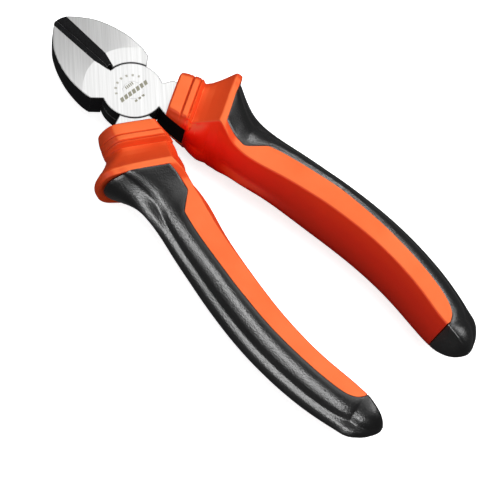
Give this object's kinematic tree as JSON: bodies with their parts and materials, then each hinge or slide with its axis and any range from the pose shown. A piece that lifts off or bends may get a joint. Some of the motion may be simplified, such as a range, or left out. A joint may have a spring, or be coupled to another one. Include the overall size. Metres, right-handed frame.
{
  "type": "diagonal cutting pliers",
  "caption": "Diagonal cutting pliers with a riveted lap joint, tapered bevelled jaws and curved two-colour handles with flared finger guards.",
  "frame": {"origin": "on the pivot axis, in the joint's flat back face (the flush rivet head)", "axes": "+Z out of the front face along the pivot, +Y towards the jaw tips, handles towards -Y, +X to the right seen from the front"},
  "size_m": [0.0662, 0.165, 0.0243],
  "materials": {
    "lever_steel": "ground and finely brushed, bright",
    "rivet_steel": "ground flush with the joint face",
    "orange_sleeve": "satin moulded hard plastic",
    "black_grip": "satin soft thermoplastic rubber with a fine pebble grain"
  },
  "bodies": {
    "upper_half": {"upper_lever": "lever_steel", "pivot_rivet": "rivet_steel", "right_sleeve": "orange_sleeve", "right_soft_grip": "black_grip"},
    "lower_half": {"lower_lever": "lever_steel", "left_sleeve": "orange_sleeve", "left_soft_grip": "black_grip"}
  },
  "joints": [
    {"name": "pivot", "type": "hinge", "parent": "upper_half", "child": "lower_half", "pos_m": [0, 0, 0], "axis": [0, 0, -1], "range_deg": [0, 42]}
  ]
}
